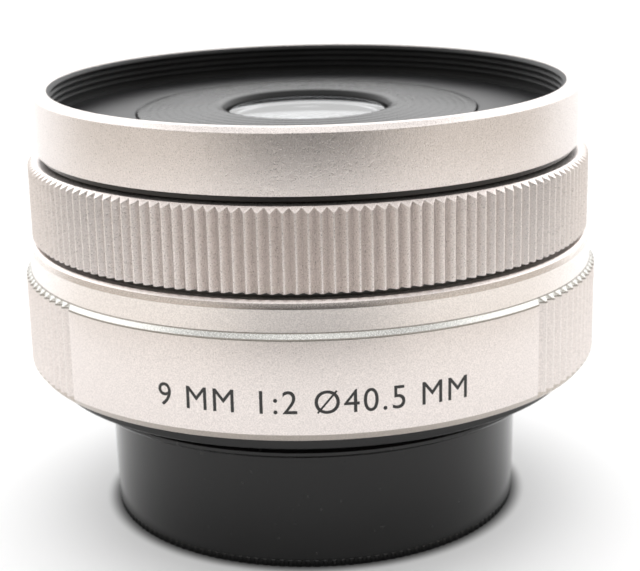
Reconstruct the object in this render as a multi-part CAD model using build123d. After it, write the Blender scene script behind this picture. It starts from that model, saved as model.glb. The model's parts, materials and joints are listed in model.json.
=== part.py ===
from build123d import *
import os
from math import pi, sin, cos, tan, radians, degrees, sqrt, atan2, hypot, asin

os.makedirs("parts", exist_ok=True)

# Compact autofocus prime lens with its rear cap on.
# Frame: millimetres, +Z is the optical axis and points out of the front of the
# lens. The origin is on the axis in the plane of the mount flange. -Y is the
# side that carries the focal-length marking.

# ---------------------------------------------------------------- dimensions
R_MAX = 22.75            # widest radius, label band and grips
Z_TOP = 23.00            # front rim above the mount flange

# front ring and filter thread
R_FRONT = 21.28
Z_FRONT_BOTTOM = 18.32
R_RIM_IN = 20.29
R_THREAD_CREST = 20.00
R_THREAD_ROOT = 20.25    # 40.5 mm nominal
THREAD_PITCH = 0.50
Z_WELL = 20.42           # where the filter well meets the trim plate

# focus ring
R_FOCUS = 22.10
R_FOCUS_VALLEY = 21.62
R_FOCUS_BORE = 20.35
Z_FOCUS_BOTTOM = 11.73
Z_FOCUS_TOP = 17.75
FOCUS_GROOVES = 160

# inner sleeve the focus ring turns on
R_SLEEVE = 20.30
R_CHANNEL = 18.70        # channel floor for the encoder comb
R_SLEEVE_IN = 17.40

# main barrel
Z_BARREL_TOP = 11.32
Z_BARREL_BOTTOM = 1.26
Z_LABEL_TOP = 8.68
Z_LABEL_BOTTOM = 1.85
R_SHOULDER = 22.28         # the wall above the grip ledge
Z_SHOULDER = 10.72
R_LEDGE = 22.33
Z_LEDGE = 9.10
GRIP_PITCH = 2.60        # degrees
GRIP_GROOVES = 32        # on each side
GRIP_VALLEY = 22.33

# mount
R_FLANGE = 17.60
R_BASE = 21.00           # black base ring under the barrel
Z_BASE = 0.10
R_MOUNT_TUBE = 13.40
SCREW_CIRCLE = 15.25
R_CLAW = 14.50
Z_CLAW_TOP = -2.05
Z_CLAW_BOTTOM = -3.25
Z_TUBE_BOTTOM = -3.90
CLAW_ARC = 44.0          # degrees
CLAW_CENTRES = (90.0, 210.0, 330.0)

# rear cap
R_CAP_COLLAR = 18.90
R_CAP = 16.40            # at the foot; the wall has a slight draft
R_CAP_TOP = 16.52
R_CAP_IN = 15.05
R_CAP_LUG = 13.60
Z_CAP_TOP = -0.05
Z_CAP_COLLAR = -1.52
Z_CAP_BOTTOM = -11.22
CAP_LUG_ARC = 40.0
CAP_FLUTES = 156

# aperture unit
R_APERTURE = 4.20
BLADE_PIVOT_R = 7.90
BLADE_PIN_R = 6.90
BLADE_PIN_ANGLE = 12.0
BLADE_T = 0.07
BLADE_STEP = 0.09
IRIS_RING_TURN = 12.0    # degrees of drive ring, open to closed
IRIS_BLADE_TURN = 26.0   # degrees of each blade over the same turn
IRIS_ARM_TURN = 48.0     # degrees of the motor arm over the same turn
SHUTTER_ARM_TURN = 14.0
SHUTTER_BLADE_TURN = 28.0
ND_TURN = 52.0

# focus drive
SCREW_PITCH = 0.50
DRIVE_R = 14.10
DRIVE_ANGLE = 20.0
FOCUS_TRAVEL = 0.60      # each way from rest

C = Align.CENTER
LOW = Align.MIN


# ------------------------------------------------------------------- helpers
def lathe(*pts):
    return revolve(make_face(Polyline([(r, 0, z) for r, z in pts], close=True).edges()), Axis.Z)


def tube(ro, ri, z0, z1):
    return lathe((ri, z0), (ro, z0), (ro, z1), (ri, z1))


def disc(r, z0, z1, x=0.0, y=0.0):
    return Pos(x, y, z0) * Cylinder(r, z1 - z0, align=(C, C, LOW))


def slab(x0, x1, y0, y1, z0, z1):
    return Pos((x0 + x1) / 2, (y0 + y1) / 2, z0) * Box(x1 - x0, y1 - y0, z1 - z0, align=(C, C, LOW))


def plan(points, z0, z1):
    face = make_face(Polyline([(x, y, z0) for x, y in points], close=True).edges())
    return extrude(face, amount=z1 - z0, dir=(0, 0, 1))


def spot(r, angle):
    return r * cos(radians(angle)), r * sin(radians(angle))


def turn(point, angle, centre=(0.0, 0.0)):
    c, s = cos(radians(angle)), sin(radians(angle))
    x, y = point[0] - centre[0], point[1] - centre[1]
    return centre[0] + c * x - s * y, centre[1] + s * x + c * y


def spin(shape, angle):
    return Rot(0, 0, angle) * shape


def sector(r_out, r_in, a0, a1, z0, z1, n=24):
    outer = [spot(r_out, a0 + (a1 - a0) * i / n) for i in range(n + 1)]
    inner = [spot(r_in, a1 - (a1 - a0) * i / n) for i in range(n + 1)]
    return plan(outer + inner, z0, z1)


def band(path, width, z0, z1):
    """A slot or strip of constant width along a list of points, round ended."""
    n = len(path)
    left, right = [], []
    for i in range(n):
        a = path[max(0, i - 1)]
        b = path[min(n - 1, i + 1)]
        dx, dy = b[0] - a[0], b[1] - a[1]
        length = hypot(dx, dy)
        nx, ny = -dy / length, dx / length
        left.append((path[i][0] + nx * width / 2, path[i][1] + ny * width / 2))
        right.append((path[i][0] - nx * width / 2, path[i][1] - ny * width / 2))
    def cap(end, before, start_pt):
        ang = atan2(end[1] - before[1], end[0] - before[0])
        return [(end[0] + width / 2 * cos(ang + t), end[1] + width / 2 * sin(ang + t))
                for t in (start_pt * pi / 3, start_pt * pi / 6, 0.0, -start_pt * pi / 6, -start_pt * pi / 3)]
    return plan(left + cap(path[-1], path[-2], 1) + right[::-1] + cap(path[0], path[1], 1), z0, z1)


def save(name, *shapes):
    solids = []
    for shape in shapes:
        solids += list(shape.solids())
    if len(solids) == 1:
        out = solids[0]
    else:
        out = Compound(children=solids)
    out.label = name
    export_step(out, f"parts/{name}.step")
    print(name, len(solids))


# --------------------------------------------------- front ring, filter well
profile = [
    (18.70, Z_FRONT_BOTTOM), (R_FRONT - 0.06, Z_FRONT_BOTTOM), (R_FRONT, Z_FRONT_BOTTOM + 0.06),
    (R_FRONT, Z_TOP - 0.34), (R_FRONT - 0.36, Z_TOP), (R_RIM_IN, Z_TOP), (R_THREAD_CREST, Z_TOP - 0.28),
]
for i in range(3):
    z = 22.46 - THREAD_PITCH * i
    profile += [(R_THREAD_CREST, z + 0.20), (R_THREAD_ROOT, z + 0.03),
                (R_THREAD_ROOT, z - 0.03), (R_THREAD_CREST, z - 0.20)]
profile += [(R_THREAD_CREST, 21.20), (R_THREAD_ROOT, 21.12), (R_THREAD_ROOT, 20.62), (R_THREAD_CREST, 20.54)]
profile += [(R_THREAD_CREST, 19.92), (18.70, 19.92)]
save("front_ring", lathe(*profile))

save("upper_spacer_ring", lathe(
    (18.70, 17.86), (20.86, 17.86), (20.92, 17.92), (20.92, Z_FRONT_BOTTOM), (18.70, Z_FRONT_BOTTOM)))

# Trim plates that fill the well: an outer plate and the finely grooved inner
# ring with the rolled lip around the front element.
save("front_baffle", lathe(
    (13.47, 19.94), (19.94, 19.94), (19.94, Z_WELL), (13.56, 20.735), (13.47, 20.66)))

lip = [(6.46, 20.36), (6.46, 20.62)]
for k in range(1, 9):
    a = radians(180 - k * 90 / 8)
    lip.append((7.26 + 0.80 * cos(a), 20.62 + 0.50 * sin(a)))
grooved = []
steps = 26
for k in range(steps):
    r0 = 7.60 + (13.05 - 7.60) * k / steps
    r1 = 7.60 + (13.05 - 7.60) * (k + 0.5) / steps
    for r, dz in ((r0, 0.0), (r0 + 0.03, -0.025), (r1 - 0.0, -0.025), (r1 + 0.03, 0.0)):
        grooved.append((r, 21.12 - (r - 7.26) * (21.12 - 20.78) / (13.40 - 7.26) + dz))
save("name_ring", lathe(
    *lip, *grooved, (13.34, 20.783), (13.40, 20.72), (13.40, 19.94), (9.00, 19.94), (9.00, 20.36)))

# ----------------------------------------------------------------- focus ring
points = []
pitch = 360.0 / FOCUS_GROOVES
for i in range(FOCUS_GROOVES):
    a = i * pitch
    half = degrees(0.045 / R_FOCUS)
    points.append(spot(R_FOCUS + 0.01, a - half))
    points.append(spot(R_FOCUS + 0.01, a + half))
    points.append(spot(R_FOCUS_VALLEY, a + pitch / 2))
knurl = plan(points, Z_FOCUS_BOTTOM, Z_FOCUS_TOP)
blank = lathe(
    (R_FOCUS_BORE, Z_FOCUS_BOTTOM), (R_FOCUS - 0.08, Z_FOCUS_BOTTOM), (R_FOCUS, Z_FOCUS_BOTTOM + 0.08),
    (R_FOCUS, Z_FOCUS_TOP - 0.36), (R_FOCUS - 0.58, Z_FOCUS_TOP), (R_FOCUS_BORE, Z_FOCUS_TOP))
save("focus_ring", blank & knurl)

# Encoder comb pressed into the ring's bore: its teeth pass the two sensors.
teeth = []
n_teeth = 60
for i in range(n_teeth):
    a = 360.0 * i / n_teeth
    teeth += [spot(18.98, a - 1.5), spot(18.98, a + 1.5), spot(19.90, a + 1.5), spot(19.90, a + 4.5)]
comb = lathe((19.70, 11.95), (R_FOCUS_BORE, 11.95), (R_FOCUS_BORE, 13.90), (19.70, 13.90))
star = plan(teeth, 12.60, 12.95)
save("encoder_comb", comb + (star - disc(18.96, 12.5, 13.1)))

save("lower_slide_ring", lathe((20.42, Z_BARREL_TOP), (21.30, Z_BARREL_TOP), (21.30, 11.67), (20.42, 11.67)))

# --------------------------------------------------------------- inner sleeve
sleeve = lathe(
    (R_SLEEVE_IN, 2.72), (19.20, 2.72), (19.20, 9.40), (R_SLEEVE, 9.40), (R_SLEEVE, 11.60),
    (R_CHANNEL, 11.60), (R_CHANNEL, 14.25), (R_SLEEVE, 14.25), (R_SLEEVE, 17.84),
    (18.65, 17.84), (18.65, 19.20), (15.40, 19.20), (15.40, 18.20), (R_SLEEVE_IN, 18.20),
    (R_SLEEVE_IN, 12.38), (15.10, 12.38), (15.10, 11.90), (R_SLEEVE_IN, 11.90))
for a in (84.0, 96.0):
    sleeve -= spin(slab(16.9, 20.0, -1.65, 1.65, 12.0, 13.6), a)
for a in (60, 180, 300):
    sleeve -= disc(0.55, 17.9, 19.3, *spot(16.90, a))
    sleeve -= disc(0.50, 11.8, 12.6, *spot(16.20, a))
for a in (45, 135, 225, 315):
    sleeve -= disc(0.62, 2.6, 6.2, *spot(18.25, a))
save("inner_barrel", sleeve)

# Two photo-interrupters: the comb teeth pass through their slots.
eyes = []
for a in (84.0, 96.0):
    eye = slab(17.42, 19.62, -1.55, 1.55, 12.06, 13.54) - slab(18.75, 19.70, -1.8, 1.8, 12.45, 13.10)
    eyes.append(spin(eye, a))
save("photo_interrupters", *eyes)

# ---------------------------------------------------------------- main barrel
barrel = lathe(
    (20.42, Z_BARREL_TOP), (21.90, Z_BARREL_TOP), (22.14, Z_BARREL_TOP - 0.18), (R_SHOULDER, Z_SHOULDER),
    (R_LEDGE, Z_LEDGE), (R_MAX, Z_LABEL_TOP), (R_MAX, Z_LABEL_BOTTOM), (R_MAX - 0.45, Z_BARREL_BOTTOM),
    (R_FLANGE + 0.10, Z_BARREL_BOTTOM), (R_FLANGE + 0.10, 2.68), (21.20, 2.68), (21.20, 9.30), (20.42, 9.30))
cutters = None
for side in (0.0, 180.0):
    first = side - GRIP_PITCH * (GRIP_GROOVES - 1) / 2
    pts = []
    a_start = first - GRIP_PITCH / 2
    half = GRIP_PITCH / 2
    crest = degrees(0.04 / R_MAX)
    outer_r = R_MAX + 1.2
    for i in range(GRIP_GROOVES):
        a = first + GRIP_PITCH * i
        pts += [spot(R_MAX + 0.005, a - half + crest), spot(GRIP_VALLEY, a), spot(R_MAX + 0.005, a + half - crest)]
    a_end = first + GRIP_PITCH * (GRIP_GROOVES - 1) + half
    n = 16
    back = [spot(outer_r, a_end - (a_end - a_start) * i / n) for i in range(n + 1)]
    comb_cut = plan(pts + back, Z_LABEL_BOTTOM - 0.001, Z_LEDGE + 0.2)
    barrel -= comb_cut
save("main_barrel", barrel)
print("outer shells done")

# ----------------------------------------------------- mount and rear frame
frame = lathe(
    (8.60, 1.30), (R_FLANGE - 0.50, 1.30), (R_FLANGE - 0.50, 0.06), (R_FLANGE, 0.06), (R_FLANGE, Z_BASE),
    (R_BASE - 0.06, Z_BASE), (R_BASE, Z_BASE + 0.06), (R_BASE, Z_BARREL_BOTTOM - 0.01),
    (R_FLANGE, Z_BARREL_BOTTOM - 0.01), (R_FLANGE, 2.68), (8.60, 2.68))
for a in (45, 135, 225, 315):
    frame -= disc(0.62, 1.0, 3.0, *spot(SCREW_CIRCLE, a))
frame -= sector(12.4, 9.6, 250, 290, 1.0, 3.0)
save("rear_frame", frame)

mount = lathe((R_MOUNT_TUBE - 1.10, 1.28), (R_FLANGE - 0.54, 1.28), (R_FLANGE - 0.54, 0.10), (R_FLANGE - 0.64, 0.0),
              (R_MOUNT_TUBE, 0.0), (R_MOUNT_TUBE, Z_TUBE_BOTTOM), (R_MOUNT_TUBE - 1.10, Z_TUBE_BOTTOM))
for a in CLAW_CENTRES:
    mount += sector(R_CLAW, R_MOUNT_TUBE - 0.3, a - CLAW_ARC / 2, a + CLAW_ARC / 2, Z_CLAW_BOTTOM, Z_CLAW_TOP)
for a in (45, 135, 225, 315):
    x, y = spot(SCREW_CIRCLE, a)
    mount -= disc(0.92, -0.2, 1.5, x, y)
    mount -= Pos(x, y, -0.001) * Cone(1.60, 0.92, 0.72, align=(C, C, LOW))
mount -= slab(15.9, 17.2, -0.55, 0.55, -0.1, 0.9)
save("mount_plate", mount)

screws = []
for a in (45, 135, 225, 315):
    x, y = spot(SCREW_CIRCLE, a)
    s = disc(0.60, 0.4, 2.60, x, y) + Pos(x, y, 0.03) * Cone(1.52, 0.88, 0.64, align=(C, C, LOW)) + disc(0.80, 0.4, 1.20, x, y)
    for t in (0, 90):
        s -= Pos(x, y, 0.02) * Rot(0, 0, t + a) * Box(1.5, 0.28, 0.38, align=(C, C, LOW))
    screws.append(s)
save("mount_screws", *screws)

block = sector(12.25, 10.0, 234, 306, -2.60, 1.25)
for i in range(11):
    x, y = spot(11.15, 240 + 6.0 * i)
    block -= disc(0.34, -3.0, 1.6, x, y)
save("contact_block", block)
pins = [disc(0.31, -2.85, 1.20, *spot(11.15, 240 + 6.0 * i)) for i in range(11)]
save("contact_pins", *pins)

board = tube(17.0, 9.2, 3.00, 3.60)
board -= disc(2.75, 2.9, 3.7, *spot(DRIVE_R, DRIVE_ANGLE))
for a in (DRIVE_ANGLE + 130, DRIVE_ANGLE + 310):
    board -= disc(0.80, 2.9, 3.7, *spot(10.6, a))
for x, y, w, h in ((-12.8, 3.5, 4.0, 4.0), (-11.0, -7.0, 3.0, 2.4), (3.0, -13.2, 4.6, 3.0), (-6.5, 10.9, 3.0, 2.4)):
    board += slab(x - w / 2, x + w / 2, y - h / 2, y + h / 2, 3.59, 4.25)
for x, y in spot(15.4, 60), spot(15.4, 100), spot(15.4, 250), spot(13.5, 300):
    board += disc(0.70, 2.69, 3.05, x, y)
save("main_board", board)

flex = sector(17.30, 17.16, 104, 114, 3.65, 11.80, 8)
flex += sector(17.30, 14.2, 104, 114, 3.62, 3.76, 8)
save("flex_cable", flex)

# ------------------------------------------------------------ fixed optics
def element(r, z_edge_low, z_edge_high, sag_low, sag_high, n=14):
    """A lens: sag is how far the middle stands beyond the edge, + is outward."""
    low, high = [], []
    for i in range(n + 1):
        t = i / n
        low.append((r * t, z_edge_low - sag_low * (1 - t * t)))
        high.append((r * (1 - t), z_edge_high + sag_high * (1 - (1 - t) * (1 - t))))
    return lathe(*(low + high[:]))


def lens(r, z_low, z_high, sag_low, sag_high):
    """Spherical faced element of edge radius r; low and high are its edge planes."""
    low_mid, high_mid = z_low - sag_low, z_high + sag_high
    half = r * 0.7071
    def on_face(z_mid, z_edge, sag, x):
        if abs(sag) < 1e-6:
            return z_mid
        radius = (r * r + sag * sag) / (2 * abs(sag))
        drop = radius - sqrt(radius * radius - x * x)
        return z_mid + (drop if z_edge > z_mid else -drop)
    e1 = ThreePointArc((0, 0, low_mid), (half, 0, on_face(low_mid, z_low, sag_low, half)), (r, 0, z_low)) if sag_low else Line((0, 0, low_mid), (r, 0, z_low))
    e2 = Line((r, 0, z_low), (r, 0, z_high))
    e3 = ThreePointArc((r, 0, z_high), (half, 0, on_face(high_mid, z_high, sag_high, half)), (0, 0, high_mid)) if sag_high else Line((r, 0, z_high), (0, 0, high_mid))
    e4 = Line((0, 0, high_mid), (0, 0, low_mid))
    return revolve(make_face([e1, e2, e3, e4]), Axis.Z)


cell = lathe(
    (5.66, 14.80), (8.60, 14.80), (8.60, 19.21), (18.40, 19.21), (18.40, 19.93), (8.60, 19.93), (8.60, 20.30),
    (7.40, 20.30), (7.40, 20.02), (6.96, 20.02), (6.96, 18.80), (5.20, 18.80), (5.20, 17.63), (5.66, 17.42))
for a in (60, 180, 300):
    x, y = spot(16.90, a)
    cell -= disc(0.75, 19.0, 20.0, x, y)
    cell -= disc(1.35, 19.55, 20.0, x, y)
save("front_cell", cell)
save("lens_1", lens(6.92, 18.82, 20.00, -0.45, 0.0) + lens(6.12, 19.50, 20.57, 0.0, 0.03))
save("lens_1_retainer", lathe((6.20, 20.13), (6.94, 20.03), (7.36, 20.03), (7.36, 20.30), (6.35, 20.30), (6.20, 20.22)))
save("lens_2", lens(5.62, 15.62, 17.40, -0.70, 0.90))
save("lens_2_retainer", lathe((4.90, 14.95), (5.62, 14.95), (5.62, 15.60), (5.10, 15.60)))
cell_screws = []
for a in (60, 180, 300):
    x, y = spot(16.90, a)
    s = disc(0.50, 18.0, 19.60, x, y) + disc(1.20, 19.57, 19.90, x, y)
    for t in (0, 90):
        s -= Pos(x, y, 19.74) * Rot(0, 0, t + a) * Box(1.3, 0.26, 0.30, align=(C, C, LOW))
    cell_screws.append(s)
save("front_cell_screws", *cell_screws)

# --------------------------------------------------------- aperture unit
def pin_xy(i):
    return spot(BLADE_PIN_R, 72.0 * i + BLADE_PIN_ANGLE)


IRIS_MOTOR = spot(12.70, 200.0)
ARM_LEN = 2.50
ARM_REST = turn((IRIS_MOTOR[0] * (1 - ARM_LEN / 12.70), IRIS_MOTOR[1] * (1 - ARM_LEN / 12.70)), IRIS_ARM_TURN / 2, IRIS_MOTOR)
SHUTTER_MOTOR = (-4.60, 11.60)
SHUTTER_PIN = turn((0.0, 11.60), -SHUTTER_ARM_TURN / 2, SHUTTER_MOTOR)
SHUTTER_PIVOTS = ((-2.25, 11.60), (2.25, 11.60))
ND_MOTOR = (0.0, -11.50)
LUGS_UP = (35.0, 150.0, 250.0)
LUGS_DOWN = (172.0, 232.0, 12.0)

base = disc(17.30, 12.40, 12.90) - disc(4.40, 12.3, 13.0)
for i in range(5):
    base += disc(0.30, 12.85, 12.98 + BLADE_STEP * i + BLADE_T + 0.02, *spot(BLADE_PIVOT_R, 72.0 * i))
for x, y in SHUTTER_PIVOTS:
    base += disc(0.32, 11.98, 12.45, x, y)
for a in LUGS_UP:
    base += disc(0.90, 12.85, 13.98, *spot(11.20, a))
for a in LUGS_DOWN:
    base += disc(0.70, 11.62, 12.45, *spot(13.75, a))
for a in (60, 180, 300):
    base -= disc(0.60, 12.3, 13.0, *spot(16.20, a))
base -= disc(0.45, 12.3, 13.0, *SHUTTER_MOTOR)
base -= disc(0.45, 12.3, 13.0, *ND_MOTOR)
for a in LUGS_UP:
    base -= disc(0.32, 13.0, 14.1, *spot(11.20, a))
save("aperture_base_plate", base)

cover = disc(13.9, 14.00, 14.40) - disc(4.60, 13.9, 14.5)
cover += tube(5.12, 4.60, 13.46, 14.05)
for a in LUGS_UP:
    cover -= disc(0.42, 13.9, 14.5, *spot(11.20, a))
cover -= disc(0.45, 13.9, 14.5, *IRIS_MOTOR)
cover -= disc(0.45, 13.9, 14.5, *SHUTTER_MOTOR)
cover -= disc(0.45, 13.9, 14.5, *ND_MOTOR)
save("aperture_cover_plate", cover)

rear = disc(14.60, 11.20, 11.60) - disc(4.60, 11.1, 11.7)
rear -= disc(1.0, 11.1, 11.7, *spot(DRIVE_R, DRIVE_ANGLE))
for a in (DRIVE_ANGLE + 130, DRIVE_ANGLE + 310):
    rear -= disc(0.53, 11.1, 11.7, *spot(10.6, a))
save("aperture_rear_plate", rear)

lug_screws = []
for a in LUGS_UP:
    x, y = spot(11.20, a)
    s = disc(0.30, 13.05, 14.45, x, y) + disc(0.80, 14.42, 14.75, x, y)
    s -= Pos(x, y, 14.58) * Rot(0, 0, a) * Box(1.3, 0.24, 0.30, align=(C, C, LOW))
    lug_screws.append(s)
for a in (60, 180, 300):
    x, y = spot(16.20, a)
    s = disc(0.45, 11.85, 12.95, x, y) + disc(0.95, 12.92, 13.28, x, y)
    s -= Pos(x, y, 13.10) * Rot(0, 0, a) * Box(1.5, 0.26, 0.30, align=(C, C, LOW))
    lug_screws.append(s)
save("aperture_screws", *lug_screws)

# Drive ring: each blade pin runs in a slot cut to the path it follows, so ring
# and blades keep one ratio over the whole turn. Positive ring turn is about -Z.
ring = tube(8.90, 5.17, 13.50, 13.90)
steps = 8
def ring_path(fn, lo=-0.06, hi=1.06):
    out = []
    for k in range(steps + 1):
        s = lo + (hi - lo) * k / steps
        out.append(turn(fn(s), IRIS_RING_TURN * s))
    return out
motor_path = ring_path(lambda s: turn(ARM_REST, -IRIS_ARM_TURN * s, IRIS_MOTOR))
mid = motor_path[len(motor_path) // 2]
mid_a = degrees(atan2(mid[1], mid[0])) % 360
lug = sector(11.40, 8.5, mid_a - 16.5, mid_a + 16.5, 13.50, 13.90)
ring += lug
ring -= band(motor_path, 0.78, 13.4, 14.0)
for i in range(5):
    pivot = spot(BLADE_PIVOT_R, 72.0 * i)
    start = pin_xy(i)
    path = ring_path(lambda s: turn(start, IRIS_BLADE_TURN * s, pivot))
    ring -= band(path, 0.58, 13.4, 14.0)
save("iris_drive_ring", ring)

for i in range(5):
    z0 = 12.98 + BLADE_STEP * i
    a = 72.0 * i
    px, py = spot(BLADE_PIVOT_R, a)
    qx, qy = pin_xy(i)
    outer_arc = [spot(6.40 - 0.55 * k / 18, a + 4 + 100.0 * k / 18) for k in range(19)]
    inner_arc = [spot(4.45, a + 104 - 104.0 * k / 20) for k in range(21)]
    root = [spot(5.6, a - 4), spot(7.3, a - 4.6)]
    blade = plan(outer_arc + inner_arc + root, z0, z0 + BLADE_T)
    blade += disc(0.75, z0, z0 + BLADE_T, px, py)
    blade += disc(0.52, z0, z0 + BLADE_T, qx, qy)
    blade += plan([spot(7.6, a - 5.2), spot(8.1, a + 4.6), spot(7.0, a + 15.4), spot(6.0, a + 13), spot(6.0, a)], z0, z0 + BLADE_T)
    blade -= disc(0.34, z0 - 0.1, z0 + 0.2, px, py)
    blade += disc(0.25, z0, 13.88, qx, qy)
    save(f"iris_blade_{i + 1}", blade)

def motor_can(x, y, z0, z1, r):
    can = disc(r, z0, z1 - 0.25, x, y) + disc(r - 0.35, z1 - 0.3, z1, x, y)
    can += Pos(x, y, z0) * Box(r * 2.3, r * 1.1, 0.5, align=(C, C, LOW))
    return can

def can_at(x, y, z0, z1, r, bore_top):
    return motor_can(x, y, z0, z1, r) - disc(0.50, z0 - 0.1, bore_top, x, y)

save("iris_motor", can_at(IRIS_MOTOR[0], IRIS_MOTOR[1], 14.42, 18.00, 2.30, 17.2))
save("shutter_motor", can_at(SHUTTER_MOTOR[0], SHUTTER_MOTOR[1], 14.42, 18.00, 2.30, 17.2))
save("nd_motor", can_at(ND_MOTOR[0], ND_MOTOR[1], 14.42, 18.00, 2.10, 17.2))

ax, ay = ARM_REST
arm = disc(0.40, 13.10, 17.0, *IRIS_MOTOR) + disc(0.75, 13.05, 13.42, *IRIS_MOTOR)
arm += band([IRIS_MOTOR, ((IRIS_MOTOR[0] + ax) / 2, (IRIS_MOTOR[1] + ay) / 2), (ax, ay)], 0.90, 13.05, 13.42)
arm += disc(0.35, 13.05, 13.86, ax, ay)
save("iris_motor_arm", arm)

sx, sy = SHUTTER_PIN
s_arm = disc(0.40, 11.66, 17.0, *SHUTTER_MOTOR) + disc(0.85, 11.66, 11.92, *SHUTTER_MOTOR)
s_arm += band([SHUTTER_MOTOR, ((SHUTTER_MOTOR[0] + sx) / 2, (SHUTTER_MOTOR[1] + sy) / 2), (sx, sy)], 0.90, 11.66, 11.92)
s_arm += disc(0.28, 11.66, 12.36, sx, sy)
save("shutter_motor_arm", s_arm)

# Shutter blades: the one arm pin runs in both slots and swings them opposite
# ways. Rest is open. Blade a turns + about Z to close, blade b turns -.
for tag, side, z0 in (("a", -1, 12.22), ("b", 1, 12.04)):
    pivot = SHUTTER_PIVOTS[0] if side < 0 else SHUTTER_PIVOTS[1]
    edge = [(side * 4.75, 5.6), (side * 4.62, 2.0), (side * 4.62, -2.0), (side * 5.4, -5.6), (side * 9.4, -5.2),
            (side * 11.2, -1.0), (side * 10.6, 3.4), (side * 8.4, 7.4), (side * 3.6, 12.2), (side * 1.3, 12.3), (side * 1.3, 10.6), (side * 3.4, 8.4)]
    blade = plan(edge, z0, z0 + 0.10)
    blade += disc(0.95, z0, z0 + 0.10, *pivot)
    mx, my = (0.0, 11.05)
    ux, uy = mx - pivot[0], my - pivot[1]
    reach = hypot(ux, uy)
    path = [(mx - 0.14 * ux / reach, my - 0.14 * uy / reach), (mx, my), (mx + 0.14 * ux / reach, my + 0.14 * uy / reach)]
    blade += band([pivot, ((pivot[0] + mx) / 2, (pivot[1] + my) / 2), (mx + 0.42 * ux, my + 0.42 * uy)], 1.90, z0, z0 + 0.10)
    blade -= band(path, 0.66, z0 - 0.1, z0 + 0.2)
    blade -= disc(0.37, z0 - 0.1, z0 + 0.2, *pivot)
    save(f"shutter_blade_{tag}", blade)

# Neutral density flag: parked beside the aperture, swings over it.
parked = turn((0.0, 0.0), -ND_TURN, ND_MOTOR)
flag = disc(0.40, 11.68, 17.0, *ND_MOTOR) + disc(0.85, 11.68, 11.95, *ND_MOTOR)
flag += disc(5.00, 11.68, 11.80, *parked) + band([ND_MOTOR, ((ND_MOTOR[0] + parked[0]) / 2, (ND_MOTOR[1] + parked[1]) / 2), parked], 2.2, 11.68, 11.80)
flag -= disc(4.30, 11.6, 11.9, *parked)
save("nd_flag_arm", flag)
save("nd_filter", disc(4.29, 11.68, 11.80, *parked))

# ------------------------------------------------------------- focus group
DX, DY = spot(DRIVE_R, DRIVE_ANGLE)
G1 = spot(10.60, DRIVE_ANGLE + 310)
G2 = spot(10.60, DRIVE_ANGLE + 130)

carriage = lathe((5.30, 4.80), (7.10, 4.80), (7.10, 9.90), (5.66, 9.90), (5.66, 6.30), (5.30, 6.30))
arm = band([(0, 0), (G1[0] / 2, G1[1] / 2), G1], 3.0, 7.0, 8.4) - disc(6.5, 6.8, 8.6)
carriage += arm + disc(1.30, 5.2, 9.3, *G1)
arm = band([(0, 0), (G2[0] / 2, G2[1] / 2), G2], 2.2, 7.2, 8.2) - disc(6.5, 6.8, 8.6)
carriage += arm + disc(1.10, 7.2, 8.2, *G2)
near = spot(11.3, DRIVE_ANGLE)
arm = band([(0, 0), spot(5.6, DRIVE_ANGLE), spot(12.6, DRIVE_ANGLE)], 2.2, 8.85, 9.55) - disc(6.5, 8.6, 9.8)
carriage += arm + disc(1.75, 8.85, 9.55, DX, DY)
carriage -= disc(0.54, 5.0, 9.6, *G1)
carriage -= band([spot(10.0, DRIVE_ANGLE + 130), G2, spot(11.2, DRIVE_ANGLE + 130)], 1.08, 7.0, 8.4)
carriage -= spin(Pos(11.4, 0, 7.0) * Box(1.2, 1.08, 1.6, align=(C, C, LOW)), DRIVE_ANGLE + 130)
carriage -= disc(1.16, 8.6, 9.8, DX, DY)
save("focus_carriage", carriage)
save("lead_nut", disc(1.15, 8.60, 9.80, DX, DY) - disc(0.66, 8.5, 9.9, DX, DY))
save("lens_3", lens(5.62, 8.10, 9.50, -0.55, 0.28))
save("lens_4", lens(5.62, 7.10, 8.09, 0.20, -0.56))
save("lens_5", lens(5.62, 6.32, 6.85, -0.30, -0.18))
save("focus_retainer", lathe((5.10, 9.52), (5.62, 9.52), (5.62, 9.88), (5.22, 9.88)))

screw = disc(0.62, 7.60, 11.05, DX, DY) + disc(0.40, 6.0, 11.42, DX, DY)
for k in range(12):
    screw -= tube(0.70, 0.52, 8.00 + 0.25 * k, 8.12 + 0.25 * k).moved(Location((DX, DY, 0)))
save("lead_screw", screw)
save("focus_motor", (disc(2.55, 2.72, 7.10, DX, DY) + disc(1.2, 7.05, 7.30, DX, DY)) - disc(0.45, 5.8, 7.4, DX, DY))
tang = spot(1.0, DRIVE_ANGLE + 90)
bracket = spin(slab(DRIVE_R - 1.5, DRIVE_R + 1.5, -3.6, 3.6, 7.32, 7.56), DRIVE_ANGLE)
bracket += spin(slab(DRIVE_R - 1.5, DRIVE_R + 1.5, 2.6, 3.0, 7.32, 11.19), DRIVE_ANGLE)
bracket += spin(slab(DRIVE_R - 1.5, DRIVE_R + 1.5, -1.6, 3.0, 11.06, 11.19), DRIVE_ANGLE)
bracket += spin(slab(DRIVE_R - 1.5, DRIVE_R + 1.5, 2.6, 3.6, 4.0, 7.40), DRIVE_ANGLE)
bracket -= disc(0.45, 7.0, 11.6, DX, DY)
bracket -= disc(1.25, 7.0, 7.31, DX, DY)
bracket -= disc(2.60, 2.7, 7.11, DX, DY)
save("motor_bracket", bracket)
save("guide_rods", disc(0.50, 2.70, 11.56, *G1), disc(0.50, 2.70, 11.56, *G2))

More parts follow.
